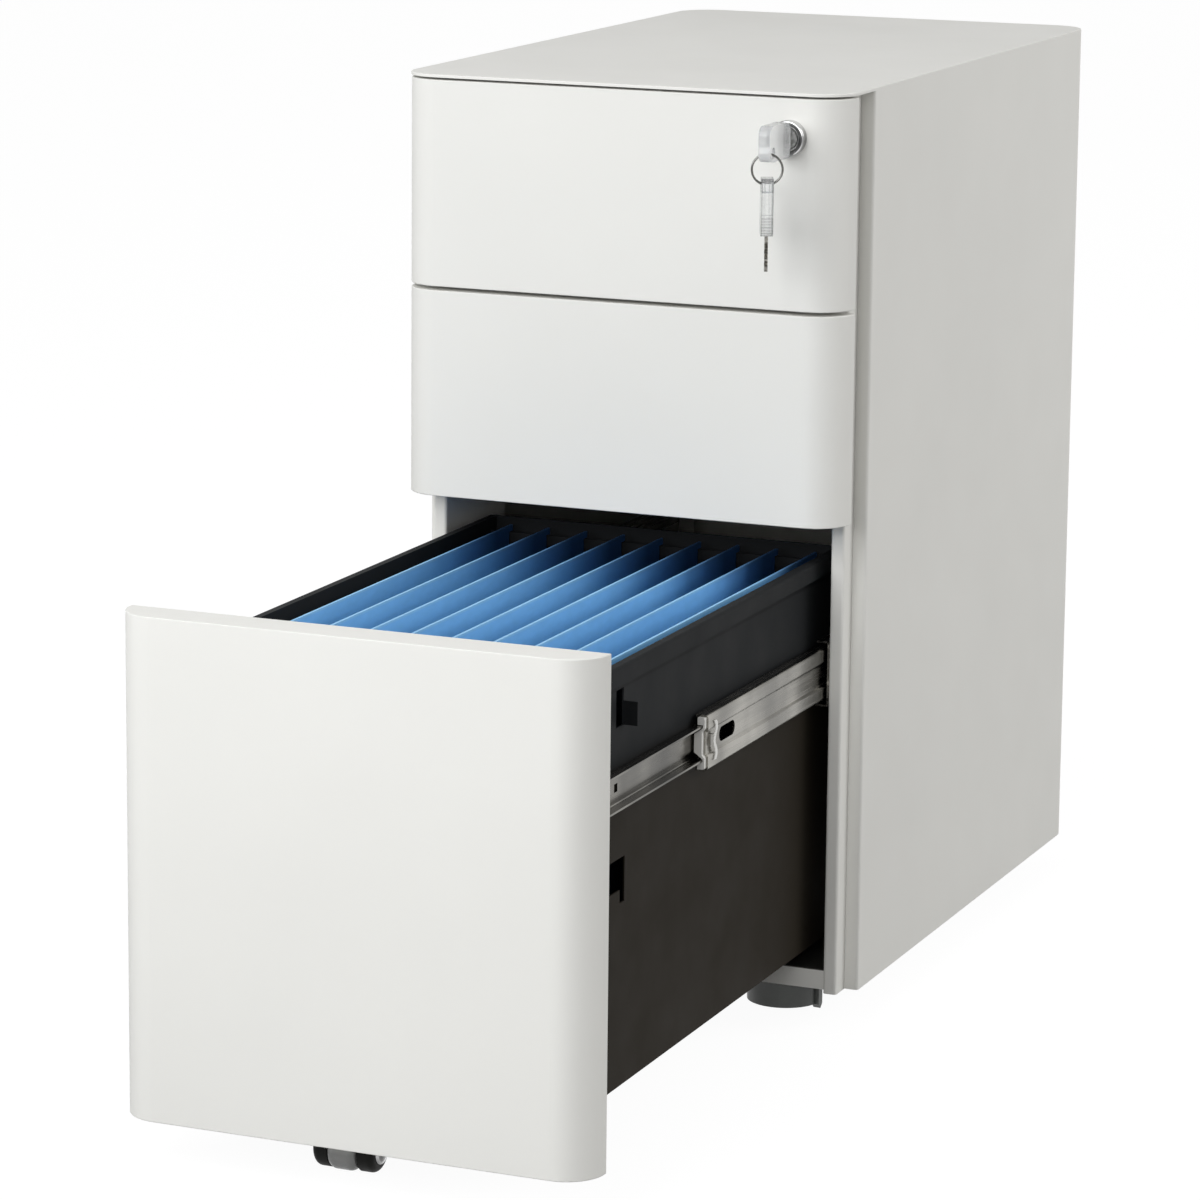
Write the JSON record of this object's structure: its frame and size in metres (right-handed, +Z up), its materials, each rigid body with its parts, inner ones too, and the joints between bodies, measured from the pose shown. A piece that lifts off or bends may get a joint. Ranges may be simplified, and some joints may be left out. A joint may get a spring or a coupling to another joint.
{
  "type": "mobile file cabinet",
  "caption": "Slim steel pedestal on casters with two shallow drawers, a file drawer on full-extension slides, hanging folders, a central lock with a lifting bar, and keys on a ring.",
  "frame": {"origin": "on the floor, under the middle of the whole object as stored with the file drawer pulled out", "axes": "+Z up, the drawers open towards -Y, +X to the right seen from the front"},
  "size_m": [0.3, 0.888, 0.6],
  "materials": {
    "casing_coating": "satin powder coat",
    "front_coating": "satin powder coat",
    "box_coating": "satin black coat",
    "zinc": "bright zinc plate",
    "bright_chrome": "polished",
    "key_steel": "bright nickel",
    "white_plastic": "satin",
    "clear_plastic": "clear plastic",
    "blue_folder": "satin card",
    "dark_plastic": "satin",
    "grey_plastic": "glossy",
    "wheel_plastic": "satin"
  },
  "bodies": {
    "cabinet": {"top_plate": "casing_coating", "top_stiffener": "casing_coating", "side_panel_left": "casing_coating", "side_panel_right": "casing_coating", "front_post_left": "casing_coating", "front_post_right": "casing_coating", "rear_posts": "casing_coating", "back_panel": "casing_coating", "base_plate": "casing_coating", "caster_flanges": "zinc", "lock_bar_guides": "zinc", "slide_outer_1": "zinc", "slide_outer_2": "zinc", "slide_outer_3": "zinc"},
    "drawer_1": {"drawer_1_front": "front_coating", "drawer_1_liner": "casing_coating", "drawer_1_box": "box_coating", "drawer_1_catch": "box_coating", "slide_inner_1": "zinc", "lock_barrel": "bright_chrome", "lock_nut": "zinc"},
    "drawer_2": {"drawer_2_front": "front_coating", "drawer_2_liner": "casing_coating", "drawer_2_box": "box_coating", "drawer_2_catch": "box_coating", "slide_inner_2": "zinc"},
    "file_drawer": {"file_drawer_front": "front_coating", "file_drawer_liner": "casing_coating", "file_drawer_box": "box_coating", "file_drawer_catch": "box_coating", "slide_inner_3": "zinc", "folder_rails": "zinc", "hanging_folders": "blue_folder", "file_caster_flange": "zinc"},
    "middle_1": {"slide_middle_1": "zinc", "slide_bumpers_1": "white_plastic"},
    "middle_2": {"slide_middle_2": "zinc", "slide_bumpers_2": "white_plastic"},
    "middle_3": {"slide_middle_3": "zinc", "slide_bumpers_3": "white_plastic"},
    "key": {"lock_plug": "bright_chrome", "lock_cam": "zinc", "key_head": "clear_plastic", "key_blade": "key_steel"},
    "ring": {"key_ring": "key_steel"},
    "spare_key": {"spare_key_head": "clear_plastic", "spare_key_blade": "key_steel"},
    "lock_bar": {"lock_bar": "zinc"},
    "file_swivel": {"file_caster_hood": "grey_plastic"},
    "file_wheels": {"file_caster_wheels": "wheel_plastic", "file_caster_caps": "bright_chrome"},
    "swivel_front_left": {"caster_hood_front_left": "dark_plastic"},
    "wheels_front_left": {"caster_wheels_front_left": "wheel_plastic"},
    "swivel_front_right": {"caster_hood_front_right": "dark_plastic"},
    "wheels_front_right": {"caster_wheels_front_right": "wheel_plastic"},
    "swivel_rear_left": {"caster_hood_rear_left": "dark_plastic"},
    "wheels_rear_left": {"caster_wheels_rear_left": "wheel_plastic"},
    "swivel_rear_right": {"caster_hood_rear_right": "dark_plastic"},
    "wheels_rear_right": {"caster_wheels_rear_right": "wheel_plastic"}
  },
  "joints": [
    {"name": "drawer_1_slide", "type": "slide", "parent": "cabinet", "child": "drawer_1", "axis": [0, -1, 0], "range_m": [0, 0.4]},
    {"name": "drawer_2_slide", "type": "slide", "parent": "cabinet", "child": "drawer_2", "axis": [0, -1, 0], "range_m": [0, 0.4]},
    {"name": "file_drawer_slide", "type": "slide", "parent": "cabinet", "child": "file_drawer", "axis": [0, -1, 0], "range_m": [-0.388, 0.012]},
    {"name": "middle_1_slide", "type": "slide", "parent": "cabinet", "child": "middle_1", "axis": [0, -1, 0], "range_m": [0, 0.2]},
    {"name": "middle_2_slide", "type": "slide", "parent": "cabinet", "child": "middle_2", "axis": [0, -1, 0], "range_m": [0, 0.2]},
    {"name": "middle_3_slide", "type": "slide", "parent": "cabinet", "child": "middle_3", "axis": [0, -1, 0], "range_m": [-0.194, 0.006]},
    {"name": "key_turn", "type": "hinge", "parent": "drawer_1", "child": "key", "pos_m": [0.1135, -0.056, 0.5726], "axis": [0, -1, 0], "range_deg": [0, 90]},
    {"name": "lock_bar_lift", "type": "slide", "parent": "cabinet", "child": "lock_bar", "axis": [0, 0, 1], "range_m": [0, 0.01697]},
    {"name": "ring_swing", "type": "hinge", "parent": "key", "child": "ring", "pos_m": [0.1135, -0.0942, 0.5667], "axis": [0.9205, 0.3907, 0], "range_deg": [-15, 15]},
    {"name": "spare_key_turn", "type": "hinge", "parent": "ring", "child": "spare_key", "pos_m": [0.1135, -0.0942, 0.5574], "axis": [0.3907, -0.9205, 0], "range_deg": [-90, 0]},
    {"name": "swivel_front_left_turn", "type": "hinge", "parent": "cabinet", "child": "swivel_front_left", "pos_m": [-0.092, 0.018, 0.0345], "axis": [0, 0, 1], "continuous": true},
    {"name": "wheels_front_left_roll", "type": "hinge", "parent": "swivel_front_left", "child": "wheels_front_left", "pos_m": [-0.092, 0.023, 0.013], "axis": [1, 0, 0], "continuous": true},
    {"name": "swivel_front_right_turn", "type": "hinge", "parent": "cabinet", "child": "swivel_front_right", "pos_m": [0.092, 0.018, 0.0345], "axis": [0, 0, 1], "continuous": true},
    {"name": "wheels_front_right_roll", "type": "hinge", "parent": "swivel_front_right", "child": "wheels_front_right", "pos_m": [0.092, 0.023, 0.013], "axis": [1, 0, 0], "continuous": true},
    {"name": "swivel_rear_left_turn", "type": "hinge", "parent": "cabinet", "child": "swivel_rear_left", "pos_m": [-0.092, 0.374, 0.0345], "axis": [0, 0, 1], "continuous": true},
    {"name": "wheels_rear_left_roll", "type": "hinge", "parent": "swivel_rear_left", "child": "wheels_rear_left", "pos_m": [-0.092, 0.379, 0.013], "axis": [1, 0, 0], "continuous": true},
    {"name": "swivel_rear_right_turn", "type": "hinge", "parent": "cabinet", "child": "swivel_rear_right", "pos_m": [0.092, 0.374, 0.0345], "axis": [0, 0, 1], "continuous": true},
    {"name": "wheels_rear_right_roll", "type": "hinge", "parent": "swivel_rear_right", "child": "wheels_rear_right", "pos_m": [0.092, 0.379, 0.013], "axis": [1, 0, 0], "continuous": true},
    {"name": "file_swivel_turn", "type": "hinge", "parent": "file_drawer", "child": "file_swivel", "pos_m": [-0.0225, -0.384, 0.0475], "axis": [0, 0, 1], "continuous": true},
    {"name": "file_wheels_roll", "type": "hinge", "parent": "file_swivel", "child": "file_wheels", "pos_m": [-0.0225, -0.392, 0.013], "axis": [1, 0, 0], "continuous": true}
  ],
  "couplings": [
    {"joint": "middle_1_slide", "follows": "drawer_1_slide", "ratio": 0.5},
    {"joint": "middle_2_slide", "follows": "drawer_2_slide", "ratio": 0.5},
    {"joint": "middle_3_slide", "follows": "file_drawer_slide", "ratio": 0.5},
    {"joint": "key_turn", "follows": "lock_bar_lift", "rad_per_m": 92.56},
    {"joint": "spare_key_turn", "follows": "lock_bar_lift", "rad_per_m": -92.56}
  ]
}
